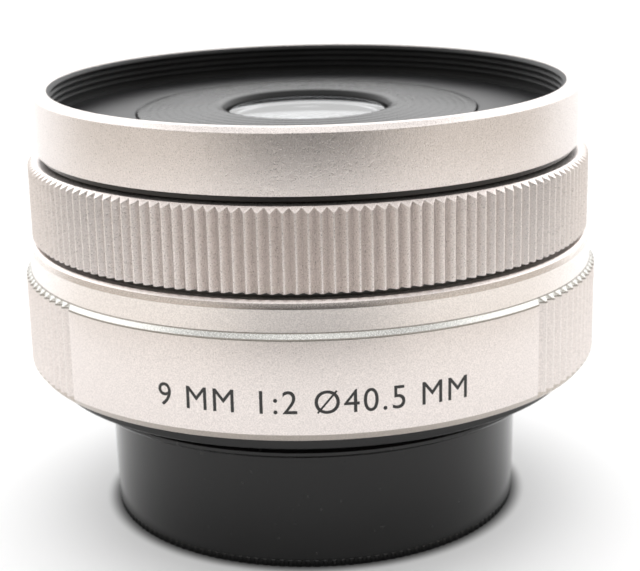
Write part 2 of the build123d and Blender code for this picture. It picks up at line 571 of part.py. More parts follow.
# -------------------------------------------------------------- rear optics
save("rear_cell", lathe(
    (5.30, -1.90), (8.40, -1.90), (8.40, 2.72), (9.10, 2.72), (9.10, 2.98), (7.60, 2.98), (7.60, 4.00), (6.86, 4.00),
    (6.86, 1.30), (6.50, 1.30), (6.50, -1.30), (5.30, -1.30)))
save("lens_6", lens(6.82, 1.34, 2.90, 0.35, 0.55))
save("lens_7", lens(6.46, -1.28, 0.60, -0.50, 0.30))
save("rear_retainer", lathe((6.10, 2.95), (6.82, 2.95), (6.82, 3.40), (6.30, 3.40)))
save("rear_baffle", lathe((4.30, -2.20), (12.20, -2.20), (12.20, -2.62 + 0.02), (12.25, -2.60), (12.25, -1.95), (8.45, -1.95), (4.30, -1.98))
     - sector(12.6, 9.8, 230, 310, -3.0, -1.0))

# ----------------------------------------------------------------- rear cap
cap = lathe(
    (R_CAP_IN, Z_CAP_TOP), (R_CAP_COLLAR - 0.30, Z_CAP_TOP), (R_CAP_COLLAR - 0.30, Z_CAP_COLLAR + 0.78),
    (R_CAP_COLLAR, Z_CAP_COLLAR + 0.48), (R_CAP_COLLAR, Z_CAP_COLLAR + 0.26),
    (R_CAP_COLLAR - 0.28, Z_CAP_COLLAR), (R_CAP_TOP + 0.10, Z_CAP_COLLAR - 0.10),
    (R_CAP_TOP, Z_CAP_COLLAR - 0.45), (R_CAP, Z_CAP_BOTTOM + 0.62), (R_CAP - 0.10, Z_CAP_BOTTOM + 0.55),
    (R_CAP - 0.10, Z_CAP_BOTTOM), (0.0, Z_CAP_BOTTOM), (0.0, Z_CAP_BOTTOM + 1.60), (R_CAP_IN, Z_CAP_BOTTOM + 1.60))
flutes = []
for i in range(CAP_FLUTES):
    a = 360.0 * i / CAP_FLUTES
    w = 360.0 / CAP_FLUTES / 4
    flutes += [spot(R_CAP, a - w), spot(R_CAP, a + w), spot(R_CAP - 0.12, a + 1.5 * w), spot(R_CAP - 0.12, a + 2.5 * w)]
cap += plan(flutes, Z_CAP_BOTTOM, Z_CAP_BOTTOM + 0.50) - disc(R_CAP - 1.0, Z_CAP_BOTTOM - 1, Z_CAP_BOTTOM + 1)
for a in CLAW_CENTRES:
    cap += sector(R_CAP_IN + 0.3, R_CAP_LUG, a + 60 - CAP_LUG_ARC / 2, a + 60 + CAP_LUG_ARC / 2, -1.85, -0.75)
    cap += sector(R_CAP_IN + 0.3, R_CAP_LUG + 0.1, a + 60 - CAP_LUG_ARC / 2, a + 60 - CAP_LUG_ARC / 2 + 4, -4.4, -1.80)
save("rear_cap", cap)
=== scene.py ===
import bpy
import json
import math
import numpy as np
from mathutils import Matrix, Vector


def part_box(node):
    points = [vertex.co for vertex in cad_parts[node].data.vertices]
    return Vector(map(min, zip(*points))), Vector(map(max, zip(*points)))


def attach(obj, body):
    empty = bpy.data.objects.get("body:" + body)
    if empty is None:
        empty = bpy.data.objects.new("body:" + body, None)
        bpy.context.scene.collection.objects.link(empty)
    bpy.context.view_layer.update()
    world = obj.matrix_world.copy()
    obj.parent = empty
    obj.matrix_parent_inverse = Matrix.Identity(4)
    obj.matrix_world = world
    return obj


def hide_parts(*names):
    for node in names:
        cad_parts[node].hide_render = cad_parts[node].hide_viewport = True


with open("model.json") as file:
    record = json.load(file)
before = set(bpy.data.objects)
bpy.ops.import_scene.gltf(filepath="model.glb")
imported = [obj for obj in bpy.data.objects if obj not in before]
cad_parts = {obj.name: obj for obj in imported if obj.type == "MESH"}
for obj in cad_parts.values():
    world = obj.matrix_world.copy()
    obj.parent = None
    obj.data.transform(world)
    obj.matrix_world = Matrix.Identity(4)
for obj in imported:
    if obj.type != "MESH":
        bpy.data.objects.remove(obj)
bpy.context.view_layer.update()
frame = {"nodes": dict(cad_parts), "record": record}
NODES = frame["nodes"]
MM = 0.001

# --------------------------------------------------------------------------
# node helpers
# --------------------------------------------------------------------------


class Graph:
    """A small wrapper that makes shader nodes and links them."""

    def __init__(self, tree):
        self.tree = tree
        self.x = 0

    def node(self, kind, **inputs):
        n = self.tree.nodes.new(kind)
        n.location = (self.x, 0)
        self.x += 180
        for key, value in inputs.items():
            if key.startswith("_"):
                setattr(n, key[1:], value)
                continue
            sock = n.inputs[int(key[1:])] if key[0] == "i" and key[1:].isdigit() else n.inputs[key.replace("__", " ")]
            self.put(sock, value)
        return n

    def put(self, sock, value):
        if isinstance(value, bpy.types.NodeSocket):
            self.tree.links.new(value, sock)
        else:
            sock.default_value = value

    def math(self, op, a, b=0.0, c=0.0, clamp=False):
        n = self.node("ShaderNodeMath", _operation=op, _use_clamp=clamp)
        self.put(n.inputs[0], a)
        self.put(n.inputs[1], b)
        self.put(n.inputs[2], c)
        return n.outputs[0]

    def ramp(self, value, stops):
        n = self.node("ShaderNodeValToRGB")
        self.put(n.inputs[0], value)
        els = n.color_ramp.elements
        while len(els) < len(stops):
            els.new(0.5)
        for el, (pos, col) in zip(els, stops):
            el.position = pos
            el.color = (*col, 1.0) if len(col) == 3 else col
        return n.outputs[0]

    def smooth(self, value, lo, hi, a=0.0, b=1.0):
        n = self.node("ShaderNodeMapRange", _interpolation_type="SMOOTHSTEP")
        for k, v in zip(("Value", "From Min", "From Max", "To Min", "To Max"), (value, lo, hi, a, b)):
            self.put(n.inputs[k], v)
        return n.outputs[0]

    def noise(self, vec, scale, detail=2.0, rough=0.5):
        n = self.node("ShaderNodeTexNoise")
        self.put(n.inputs["Vector"], vec)
        n.inputs["Scale"].default_value = scale
        n.inputs["Detail"].default_value = detail
        n.inputs["Roughness"].default_value = rough
        return n.outputs[0]

    def mix(self, fac, a, b):
        n = self.node("ShaderNodeMix", _data_type="RGBA")
        self.put(n.inputs[0], fac)
        self.put(n.inputs[6], a)
        self.put(n.inputs[7], b)
        return n.outputs[2]

    def bump(self, height, distance, strength=1.0, normal=None):
        n = self.node("ShaderNodeBump")
        n.inputs["Strength"].default_value = strength
        n.inputs["Distance"].default_value = distance
        self.put(n.inputs["Height"], height)
        if normal is not None:
            self.put(n.inputs["Normal"], normal)
        return n.outputs[0]


def rgba(c):
    return (*c, 1.0) if len(c) == 3 else c


def material(name, build):
    mat = bpy.data.materials.new(name)
    mat.use_nodes = True
    tree = mat.node_tree
    tree.nodes.clear()
    g = Graph(tree)
    out = tree.nodes.new("ShaderNodeOutputMaterial")
    bsdf = tree.nodes.new("ShaderNodeBsdfPrincipled")
    tree.links.new(bsdf.outputs[0], out.inputs[0])
    obj = g.node("ShaderNodeTexCoord").outputs["Object"]
    sep = g.node("ShaderNodeSeparateXYZ", Vector=obj)
    build(g, bsdf, obj, sep)
    return mat


def edge_light(g, amount_radius):
    """0 on flats, up to 1 where the surface turns a corner."""
    bev = g.node("ShaderNodeBevel", _samples=4)
    bev.inputs["Radius"].default_value = amount_radius
    geo = g.node("ShaderNodeNewGeometry")
    dot = g.node("ShaderNodeVectorMath", _operation="DOT_PRODUCT")
    g.put(dot.inputs[0], bev.outputs[0])
    g.put(dot.inputs[1], geo.outputs["Normal"])
    return g.smooth(dot.outputs["Value"], 0.999, 0.93)


# --------------------------------------------------------------------------
# materials
# --------------------------------------------------------------------------


def satin_silver(name, tone=(0.80, 0.765, 0.735), rough=0.36, grain=1.0):
    def build(g, b, obj, sep):
        fine = g.noise(obj, 11000.0, 2.0, 0.6)
        coarse = g.noise(obj, 2600.0, 3.0, 0.6)
        cloud = g.noise(obj, 90.0, 3.0, 0.5)
        speck = g.smooth(fine, 0.34, 0.68)
        col = g.mix(speck, rgba([c * 0.84 for c in tone]), rgba([min(1.0, c * 1.08) for c in tone]))
        col = g.mix(g.smooth(cloud, 0.3, 0.7, 0.0, 0.08), col, rgba((0.70, 0.66, 0.64)))
        g.put(b.inputs["Base Color"], col)
        b.inputs["Metallic"].default_value = 0.92
        r = g.math("ADD", rough - 0.05, g.math("MULTIPLY", fine, 0.12))
        g.put(b.inputs["Roughness"], r)
        h = g.math("ADD", g.math("MULTIPLY", fine, 0.7), g.math("MULTIPLY", coarse, 0.5))
        g.put(b.inputs["Normal"], g.bump(h, 0.000022 * grain, 1.0))

    return material(name, build)


def black_satin(name, tone, rough, spec=0.5, lathe_pitch=0.0, lathe_depth=0.0, grain=0.000004, coat=0.0, dust=0.0):
    def build(g, b, obj, sep):
        x2 = g.math("MULTIPLY", sep.outputs[0], sep.outputs[0])
        radius = g.math("SQRT", g.math("ADD", x2, g.math("MULTIPLY", sep.outputs[1], sep.outputs[1])))
        fine = g.noise(obj, 9000.0, 2.0, 0.6)
        patch = g.noise(obj, 160.0, 4.0, 0.6)
        col = g.mix(g.smooth(patch, 0.35, 0.7), rgba(tone), rgba([c * 1.35 + 0.0008 for c in tone]))
        if dust > 0:
            flecks = g.smooth(g.noise(obj, 2300.0, 1.0, 0.4), 0.74, 0.80, 0.0, dust)
            col = g.mix(flecks, col, rgba((0.45, 0.44, 0.42)))
        g.put(b.inputs["Base Color"], col)
        b.inputs["Specular IOR Level"].default_value = spec
        g.put(b.inputs["Roughness"], g.math("ADD", rough - 0.04, g.math("MULTIPLY", patch, 0.08)))
        height = g.math("MULTIPLY", fine, 1.0)
        normal = g.bump(height, grain, 1.0)
        if lathe_pitch:
            wave = g.math("SINE", g.math("MULTIPLY", radius, 2 * math.pi / lathe_pitch))
            comb = g.node("ShaderNodeCombineXYZ")
            g.put(comb.inputs[0], g.math("MULTIPLY", radius, 9000.0))
            rnd = g.noise(comb.outputs[0], 1.0, 2.0, 0.7)
            h = g.math("ADD", g.math("MULTIPLY", wave, 0.5), rnd)
            normal = g.bump(h, lathe_depth, 1.0, normal)
        g.put(b.inputs["Normal"], normal)
        b.inputs["Coat Weight"].default_value = coat
        b.inputs["Coat Roughness"].default_value = 0.12

    return material(name, build)


def turned_metal(name, tone, rough, pitch=0.00009, depth=0.000002, metallic=1.0):
    def build(g, b, obj, sep):
        x2 = g.math("MULTIPLY", sep.outputs[0], sep.outputs[0])
        radius = g.math("SQRT", g.math("ADD", x2, g.math("MULTIPLY", sep.outputs[1], sep.outputs[1])))
        line = g.node("ShaderNodeCombineXYZ")
        g.put(line.inputs[0], g.math("MULTIPLY", radius, 1.0 / pitch))
        g.put(line.inputs[1], g.math("MULTIPLY", sep.outputs[2], 1.0 / pitch))
        rnd = g.noise(line.outputs[0], 1.0, 2.0, 0.7)
        smear = g.noise(obj, 300.0, 3.0, 0.6)
        col = g.mix(rnd, rgba([c * 0.82 for c in tone]), rgba([min(1, c * 1.1) for c in tone]))
        g.put(b.inputs["Base Color"], col)
        b.inputs["Metallic"].default_value = metallic
        g.put(b.inputs["Roughness"], g.math("ADD", rough - 0.06, g.math("MULTIPLY", smear, 0.14)))
        g.put(b.inputs["Normal"], g.bump(rnd, depth, 1.0))

    return material(name, build)


def glass(name, tint, ior=1.6, coat=(0.75, 0.85, 0.9)):
    def build(g, b, obj, sep):
        smear = g.noise(obj, 240.0, 3.0, 0.6)
        lw = g.node("ShaderNodeLayerWeight")
        lw.inputs["Blend"].default_value = 0.35
        col = g.mix(lw.outputs["Facing"], rgba(tint), rgba((1.0, 1.0, 1.0)))
        g.put(b.inputs["Base Color"], col)
        b.inputs["Transmission Weight"].default_value = 1.0
        b.inputs["IOR"].default_value = ior
        g.put(b.inputs["Roughness"], g.math("MULTIPLY", g.smooth(smear, 0.5, 0.8), 0.012))
        g.put(b.inputs["Normal"], g.bump(smear, 0.0000004, 0.3))

    return material(name, build)


def plastic_speck(name, tone, rough, metallic=0.0, scale=7000.0, depth=0.000004, var=0.25):
    def build(g, b, obj, sep):
        n1 = g.noise(obj, scale, 3.0, 0.6)
        n2 = g.noise(obj, scale * 0.05, 3.0, 0.6)
        col = g.mix(n2, rgba([c * (1 - var) for c in tone]), rgba([min(1, c * (1 + var)) for c in tone]))
        g.put(b.inputs["Base Color"], col)
        b.inputs["Metallic"].default_value = metallic
        g.put(b.inputs["Roughness"], g.math("ADD", rough - 0.05, g.math("MULTIPLY", n2, 0.1)))
        g.put(b.inputs["Normal"], g.bump(n1, depth, 1.0))

    return material(name, build)


def board_mat(name):
    def build(g, b, obj, sep):
        vor = g.node("ShaderNodeTexVoronoi", _feature="DISTANCE_TO_EDGE")
        g.put(vor.inputs["Vector"], obj)
        vor.inputs["Scale"].default_value = 900.0
        trace = g.smooth(vor.outputs["Distance"], 0.05, 0.09)
        top = g.smooth(sep.outputs[2], 0.00361, 0.00363)
        mask = g.mix(trace, rgba((0.05, 0.22, 0.11)), rgba((0.015, 0.10, 0.05)))
        col = g.mix(top, mask, rgba((0.02, 0.02, 0.022)))
        g.put(b.inputs["Base Color"], col)
        b.inputs["Roughness"].default_value = 0.3
        g.put(b.inputs["Normal"], g.bump(trace, 0.00001, 0.6))

    return material(name, build)


M_SILVER = satin_silver("satin_silver", (0.755, 0.695, 0.665), 0.29, 0.8)
M_SILVER_BLAST = satin_silver("blasted_silver", (0.755, 0.695, 0.665), 0.28, 1.5)
M_SILVER_CUT = satin_silver("cut_silver", (0.72, 0.66, 0.62), 0.20, 0.12)
# painted highlight: a lighter copy of the satin silver, laid on the step cone so that it reads brighter
M_SILVER_STEP_PAINTED_HIGHLIGHT = satin_silver("step_silver_painted_highlight", (0.90, 0.845, 0.815), 0.33, 0.7)
# painted shade: a darker copy of the satin silver, laid on the ledge
M_SILVER_LEDGE_PAINTED_SHADE = satin_silver("ledge_silver_painted_shade", (0.64, 0.635, 0.605), 0.25, 0.3)
# painted shade: a near-black copy of the satin silver that draws dark lines along the ledge's two edges
M_SILVER_PAINTED_SHADE_LINE = satin_silver("painted_shade_line_silver", (0.27, 0.25, 0.22), 0.30, 0.3)
# painted shade: a darker copy of the satin silver for the barrel's lower bevel
M_SILVER_BEVEL_PAINTED_SHADE = satin_silver("bevel_silver_painted_shade", (0.55, 0.49, 0.44), 0.30, 0.6)
M_WELL = black_satin("well_black", (0.006, 0.006, 0.006), 0.42, 0.28, 0.0, 0.0, 0.000003)
M_TRIM_OUT = black_satin("trim_outer", (0.012, 0.012, 0.013), 0.36, 0.26, 0.00006, 0.0000010, 0.000002, 0.0, 0.0)
M_TRIM_IN = black_satin("trim_inner", (0.010, 0.010, 0.010), 0.27, 0.24, 0.00008, 0.0000015, 0.000002, 0.0, 0.0)
M_GAP = black_satin("gap_black", (0.010, 0.008, 0.007), 0.22, 0.5, 0.0, 0.0, 0.000002)
M_CAP = black_satin("cap_black", (0.0018, 0.0017, 0.0016), 0.13, 0.40, 0.0, 0.0, 0.0000012, 0.0, 0.05)
M_BASE = black_satin("base_black", (0.0018, 0.0017, 0.0016), 0.14, 0.38, 0.0, 0.0, 0.0000015)
M_BLACK = black_satin("black_anodised", (0.014, 0.014, 0.015), 0.42, 0.5, 0.0, 0.0, 0.000004)
M_PLASTIC = plastic_speck("black_plastic", (0.02, 0.02, 0.021), 0.5)
M_STEEL = turned_metal("turned_steel", (0.62, 0.61, 0.59), 0.24)
M_PLAIN_STEEL = turned_metal("machined_steel", (0.52, 0.52, 0.52), 0.3)
M_GOLD = turned_metal("gold_flash", (0.86, 0.66, 0.28), 0.25)
M_BOARD = board_mat("solder_mask")
M_FLEX = plastic_speck("amber_film", (0.55, 0.26, 0.05), 0.25)
M_CAN = turned_metal("plated_can", (0.5, 0.5, 0.51), 0.32)
M_BLADE = plastic_speck("blade_black", (0.02, 0.02, 0.02), 0.4, 0.3)
M_GLASS = glass("coated_glass", (0.90, 0.93, 0.97))
M_ND = glass("nd_glass", (0.25, 0.25, 0.26), 1.45)
M_INK = plastic_speck("marking_black", (0.018, 0.017, 0.016), 0.45)

SLOT_MAT = {
    "silver_shell": M_SILVER, "black_anodised": M_BLACK, "black_trim": M_TRIM_IN, "black_plastic": M_PLASTIC,
    "cap_plastic": M_CAP, "mount_steel": M_STEEL, "steel": M_PLAIN_STEEL, "gold_contact": M_GOLD, "board": M_BOARD,
    "flex": M_FLEX, "motor_can": M_CAN, "blade_black": M_BLADE, "coated_glass": M_GLASS, "nd_glass": M_ND,
}
NODE_SLOT = {s["node"]: s["material_slot"] for s in frame["record"]["subparts"]}

for name, o in NODES.items():
    mat = SLOT_MAT[NODE_SLOT[name]]
    if name in ("upper_spacer_ring", "lower_slide_ring"):
        mat = M_GAP
    if name == "rear_frame":
        mat = M_BASE
    if name in ("lens_1_retainer", "front_cell"):
        mat = M_WELL
    o.data.materials.clear()
    o.data.materials.append(mat)
    for p in o.data.polygons:
        p.use_smooth = True
    mod = o.modifiers.new("split", "EDGE_SPLIT")
    mod.split_angle = math.radians(28)

# --------------------------------------------------------------------------
# mesh helpers
# --------------------------------------------------------------------------


def rounded(profile, default=0.03, step=20.0, closed=True):
    """Rounds the corners of an (r, z[, radius]) outline and returns plain points."""
    out = []
    n = len(profile)
    for i, p in enumerate(profile):
        rad = p[2] if len(p) > 2 else default
        b = np.array(p[:2], float)
        if rad <= 0 or (not closed and i in (0, n - 1)):
            out.append(tuple(b))
            continue
        a, c = np.array(profile[i - 1][:2], float), np.array(profile[(i + 1) % n][:2], float)
        u, v = a - b, c - b
        lu, lv = np.linalg.norm(u), np.linalg.norm(v)
        u, v = u / lu, v / lv
        ang = math.acos(max(-1.0, min(1.0, float(u @ v))))
        if ang > math.radians(174):
            out.append(tuple(b))
            continue
        t = min(rad / math.tan(ang / 2), 0.45 * lu, 0.45 * lv)
        rr = t * math.tan(ang / 2)
        w = (u + v) / np.linalg.norm(u + v)
        centre = b + w * rr / math.sin(ang / 2)
        p0, p1 = b + u * t, b + v * t
        a0 = math.atan2(*(p0 - centre)[::-1])
        a1 = math.atan2(*(p1 - centre)[::-1])
        d = (a1 - a0 + math.pi) % (2 * math.pi) - math.pi
        k = max(2, int(math.ceil(abs(d) / math.radians(step))))
        for j in range(k + 1):
            q = a0 + d * j / k
            out.append((centre[0] + rr * math.cos(q), centre[1] + rr * math.sin(q)))
    return out


def refine(points, spans, closed=True):
    """Splits the segments whose middle lies in one of the (z0, z1, size) spans."""
    out = []
    n = len(points)
    for i in range(n if closed else n - 1):
        a, b = np.array(points[i]), np.array(points[(i + 1) % n])
        out.append(tuple(a))
        mid, length = (a + b) / 2, np.linalg.norm(b - a)
        for z0, z1, r0, size in spans:
            if z0 <= mid[1] <= z1 and mid[0] >= r0 and length > size:
                k = int(math.ceil(length / size))
                for j in range(1, k):
                    out.append(tuple(a + (b - a) * j / k))
                break
    if not closed:
        out.append(tuple(points[-1]))
    return out


def revolve(name, points, angles=None, n=360, field=None, mats=(), face_mat=None, closed=True, body=None, replaces=()):
    """Turns an outline about Z. field(r, z, phi) may reshape the radius. Angles are radians."""
    pts = np.array(points, float)
    phi = np.linspace(0, 2 * math.pi, n, endpoint=False) if angles is None else np.asarray(angles, float)
    n = len(phi)
    r = np.repeat(pts[:, 0][:, None], n, 1)
    z = np.repeat(pts[:, 1][:, None], n, 1)
    ph = np.repeat(phi[None, :], len(pts), 0)
    if field is not None:
        r = field(r, z, ph)
    verts = np.stack([r * np.cos(ph), r * np.sin(ph), z], -1) * MM
    m = len(pts)
    rows = m if closed else m - 1
    flat = []
    index = np.arange(m * n).reshape(m, n)
    merged = {}
    coords = verts.reshape(-1, 3)
    poles = {}
    for i in range(m):
        if pts[i, 0] < 1e-6:
            poles[i] = index[i, 0]
    faces, fm = [], []
    for i in range(rows):
        i2 = (i + 1) % m
        mid = ((pts[i, 0] + pts[i2, 0]) / 2, (pts[i, 1] + pts[i2, 1]) / 2)
        mi = face_mat(*mid) if face_mat else 0
        if i in poles and i2 in poles:
            continue
        for j in range(n):
            j2 = (j + 1) % n
            a, b, c, d = index[i, j], index[i, j2], index[i2, j2], index[i2, j]
            if i in poles:
                faces.append((poles[i], c, d))
            elif i2 in poles:
                faces.append((a, b, poles[i2]))
            else:
                faces.append((a, b, c, d))
            fm.append(mi)
    used = sorted({v for f in faces for v in f})
    remap = {v: k for k, v in enumerate(used)}
    mesh = bpy.data.meshes.new(name)
    mesh.from_pydata([tuple(coords[v]) for v in used], [], [[remap[v] for v in f] for f in faces])
    mesh.validate()
    for mat in mats:
        mesh.materials.append(mat)
    mesh.polygons.foreach_set("material_index", fm)
    mesh.polygons.foreach_set("use_smooth", [True] * len(mesh.polygons))
    mesh.update()
    obj = bpy.data.objects.new(name, mesh)
    bpy.context.scene.collection.objects.link(obj)
    import bmesh
    bm = bmesh.new()
    bm.from_mesh(mesh)
    bmesh.ops.recalc_face_normals(bm, faces=bm.faces)
    for e in bm.edges:
        if len(e.link_faces) == 2 and e.calc_face_angle(0.0) > math.radians(34):
            e.smooth = False
    bm.to_mesh(mesh)
    bm.free()
    if body:
        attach(obj, body)
    if replaces:
        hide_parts(*replaces)
    return obj


def softmin(a, b, k):
    h = np.clip(0.5 + 0.5 * (b - a) / k, 0, 1)
    return b * (1 - h) + a * h - k * h * (1 - h)


# --------------------------------------------------------------------------
# dimensions shared with the CAD frame, read back from its boxes where possible
# --------------------------------------------------------------------------
def top(node):
    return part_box(node)[1].z / MM


def low(node):
    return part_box(node)[0].z / MM


def rad(node):
    lo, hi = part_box(node)
    return max(hi.x, -lo.x) / MM


Z_TOP = top("front_ring")
Z_FRONT_LOW = low("front_ring")
R_FRONT = rad("front_ring")
Z_FOCUS_LOW, Z_FOCUS_TOP, R_FOCUS = low("focus_ring"), top("focus_ring"), 22.10
Z_BARREL_TOP, Z_BARREL_LOW, R_MAX = top("main_barrel"), low("main_barrel"), 22.75
Z_CAP_TOP, Z_CAP_LOW = top("rear_cap"), low("rear_cap")

# ---- front ring -----------------------------------------------------------
prof = [
    (18.70, Z_FRONT_LOW, 0.03), (R_FRONT, Z_FRONT_LOW, 0.07), (R_FRONT, Z_TOP - 0.34, 0.20), (R_FRONT - 0.36, Z_TOP, 0.05),
    (20.29, Z_TOP, 0.03), (20.00, Z_TOP - 0.28, 0.03),
]
for i in range(3):
    z = 22.46 - 0.5 * i
    prof += [(20.00, z + 0.20, 0.02), (20.25, z + 0.03, 0.015), (20.25, z - 0.03, 0.015), (20.00, z - 0.20, 0.02)]
prof += [(20.00, 21.20, 0.03), (20.25, 21.12, 0.03), (20.25, 20.62, 0.03), (20.00, 20.54, 0.03)]
prof += [(20.00, 19.92, 0.02), (18.70, 19.92, 0.03)]
revolve("front_ring_shell", rounded(prof), n=480, mats=(M_SILVER_BLAST, M_WELL),
        face_mat=lambda r, z: 1 if (r < 20.285 and z > 19) or z < Z_FRONT_LOW + 0.015 else 0,
        body="barrel", replaces=("front_ring",))

# ---- trim plates in the well ---------------------------------------------
prof = [(13.47, 19.94, 0.02), (19.94, 19.94, 0.02), (19.94, 20.42, 0.04), (13.58, 20.735, 0.04), (13.47, 20.63, 0.03)]
revolve("front_baffle_shell", rounded(prof), n=360, mats=(M_TRIM_OUT,), body="barrel", replaces=("front_baffle",))

prof = [(6.46, 20.36, 0.02), (6.46, 20.60, 0.30), (6.72, 21.02, 0.30), (7.26, 21.12, 0.20)]
slope = (21.12 - 20.78) / (13.40 - 7.26)
r = 7.75
while r < 13.0:
    zc = 21.12 - (r - 7.26) * slope
    prof += [(r, zc, 0.03), (r + 0.12, zc - 0.035, 0.03), (r + 0.24, zc - 0.012, 0.02)]
    r += 0.66
prof += [(13.32, 20.784, 0.02), (13.40, 20.71, 0.03), (13.40, 19.94, 0.02), (9.00, 19.94, 0.02), (9.00, 20.36, 0.02)]
revolve("name_ring_shell", rounded(prof), n=360, mats=(M_TRIM_IN, M_WELL), face_mat=lambda r, z: 1 if r < 6.60 else 0, body="barrel", replaces=("name_ring",))

# ---- front element --------------------------------------------------------
R1 = 6.92
z0, z1 = 18.82, 20.00
front, back = [], []
steps = 36
R_NECK, Z_NECK, sag_f, sag_b = 6.12, 20.57, 0.03, 0.45
rf = (R_NECK * R_NECK + sag_f * sag_f) / (2 * sag_f)
rb = (R1 * R1 + sag_b * sag_b) / (2 * sag_b)
for i in range(steps + 1):
    q = R1 * i / steps
    back.append((q, z0 + sag_b - (rb - math.sqrt(rb * rb - q * q))))
    w = R_NECK * (1 - i / steps)
    front.append((w, Z_NECK + sag_f - (rf - math.sqrt(rf * rf - w * w))))
step_pts = [(R1, z1), (R_NECK, z1)]
revolve("front_element", back + step_pts + front, n=240, mats=(M_GLASS,), closed=False, body="barrel", replaces=("lens_1",))

# ---- focus ring -----------------------------------------------------------
GROOVES = 160
pitch = 2 * math.pi / GROOVES
VALLEY = 21.62
cols = np.array([0.0, 0.055, 0.10, 0.19, 0.30, 0.40, 0.455, 0.5, 0.545, 0.60, 0.70, 0.81, 0.90, 0.945])
angles = (np.arange(GROOVES)[:, None] + cols[None, :]).ravel() * pitch


def vee(t, crest, valley, flat=0.05, round_valley=0.07):
    """Radius of a V groove across one pitch, t in 0..1 with the crest at 0."""
    d = np.abs(((t + 0.5) % 1.0) - 0.5) * 2  # 0 at crest, 1 at valley
    s = np.clip((d - flat) / (1 - flat), 0, 1)
    s = np.where(s > 1 - round_valley, 1 - round_valley / 2 - (1 - s) ** 2 / (2 * round_valley), s)
    s = np.where(s < 0.06, s * s / 0.12, s - 0.03)
    return crest - (crest - valley) * s / 0.935


def knurl(r, z, ph):
    g = vee(ph / pitch, R_FOCUS + 0.004, VALLEY)
    return np.where(r > 21.2, softmin(r, g, 0.020), r)


prof = [
    (20.36, Z_FOCUS_LOW, 0.03), (R_FOCUS - 0.08, Z_FOCUS_LOW, 0.03), (R_FOCUS, Z_FOCUS_LOW + 0.08, 0.03),
    (R_FOCUS, Z_FOCUS_TOP - 0.36, 0.02), (R_FOCUS - 0.58, Z_FOCUS_TOP, 0.03), (20.36, Z_FOCUS_TOP, 0.03),
]
pts = refine(rounded(prof), [(Z_FOCUS_TOP - 0.42, Z_FOCUS_TOP - 0.001, 21.4, 0.030), (Z_FOCUS_LOW + 0.001, Z_FOCUS_LOW + 0.2, 21.7, 0.04)])
revolve("focus_ring_shell", pts, angles=angles, field=knurl, mats=(M_SILVER_BLAST,), body="focus_ring", replaces=("focus_ring",))

# ---- main barrel ----------------------------------------------------------
GRIP_PITCH = math.radians(2.60)
GRIP_N = 32
GRIP_VALLEY = 22.33
grip_half = GRIP_PITCH * GRIP_N / 2
cols = np.array([0.0, 0.05, 0.10, 0.2, 0.32, 0.42, 0.46, 0.5, 0.54, 0.58, 0.68, 0.8, 0.90, 0.95])
angles = []
for side in (0.0, math.pi):
    angles += list(side - grip_half + (np.arange(GRIP_N)[:, None] + cols[None, :]).ravel() * GRIP_PITCH)
    a0 = side + grip_half
    a1 = side + math.pi - grip_half
    k = 110
    angles += list(a0 + (a1 - a0) * np.arange(k) / k)


def grip(r, z, ph):
    rel = (ph + math.pi / 2) % math.pi - math.pi / 2
    inside = np.abs(rel) <= grip_half + 1e-9
    g = vee((rel + grip_half) / GRIP_PITCH, R_MAX + 0.004, GRIP_VALLEY)
    g = np.where(inside, g, R_MAX + 1)
    return np.where((r > 22.31) & (z < 9.12), softmin(r, g, 0.015), r)


prof = [
    (20.42, Z_BARREL_TOP, 0.03), (21.90, Z_BARREL_TOP, 0.03), (22.14, Z_BARREL_TOP - 0.18, 0.04), (22.28, 10.72, 0.05),
    (22.33, 9.10, 0.06), (R_MAX, 8.68, 0.16), (R_MAX, 1.85, 0.05), (R_MAX - 0.45, Z_BARREL_LOW, 0.04), (17.70, Z_BARREL_LOW, 0.03),
    (17.70, 2.68, 0.03), (21.20, 2.68, 0.03), (21.20, 9.30, 0.03), (20.42, 9.30, 0.03),
]
pts = refine(rounded(prof), [(8.56, 9.13, 22.2, 0.035), (1.27, 1.86, 22.3, 0.06)])


def barrel_finish_and_painted_light(r, z):
    """Picks each face's material: the shoulder cone is cut smoother than the blasted faces; the step gets a lighter
    silver copy (painted highlight), the ledge and the lower bevel darker copies (painted shade), and the ledge's two
    edges a near-black copy (painted shade lines).
    """
    if r > 22.10 and 10.74 < z < 11.16:
        return 1
    if r > 22.20 and 9.14 < z <= 10.74:
        return 2
    if 9.02 < z <= 9.14 and 22.20 < r < 22.40:
        return 4
    if r > R_MAX - 0.09 and 8.63 < z < 8.76:
        return 4
    if r > 22.40 and 8.70 < z <= 9.12:
        return 3
    if r > R_MAX - 0.44 and z < 1.84:
        return 5
    return 0


revolve("main_barrel_shell", pts, angles=angles, field=grip,
        mats=(M_SILVER, M_SILVER_CUT, M_SILVER_STEP_PAINTED_HIGHLIGHT, M_SILVER_LEDGE_PAINTED_SHADE, M_SILVER_PAINTED_SHADE_LINE, M_SILVER_BEVEL_PAINTED_SHADE),
        face_mat=barrel_finish_and_painted_light, body="barrel", replaces=("main_barrel",))

# ---- rear cap -------------------------------------------------------------
FLUTES = 156
CAP_LUG_R, CAP_LUG_ARC = 13.60, 40.0
LABEL_TURN = 0.0
cols = np.array([0.0, 0.22, 0.30, 0.5, 0.70, 0.78])
angles = (np.arange(FLUTES)[:, None] + cols[None, :]).ravel() * 2 * math.pi / FLUTES


def flute(r, z, ph):
    t = (ph * FLUTES / (2 * math.pi)) % 1.0
    d = np.abs(t - 0.5) * 2
    g = 16.40 - 0.12 * np.clip((0.62 - d) / 0.14, 0, 1)
    return np.where((r > 16.0) & (z < Z_CAP_LOW + 0.53), np.minimum(r, g), r)


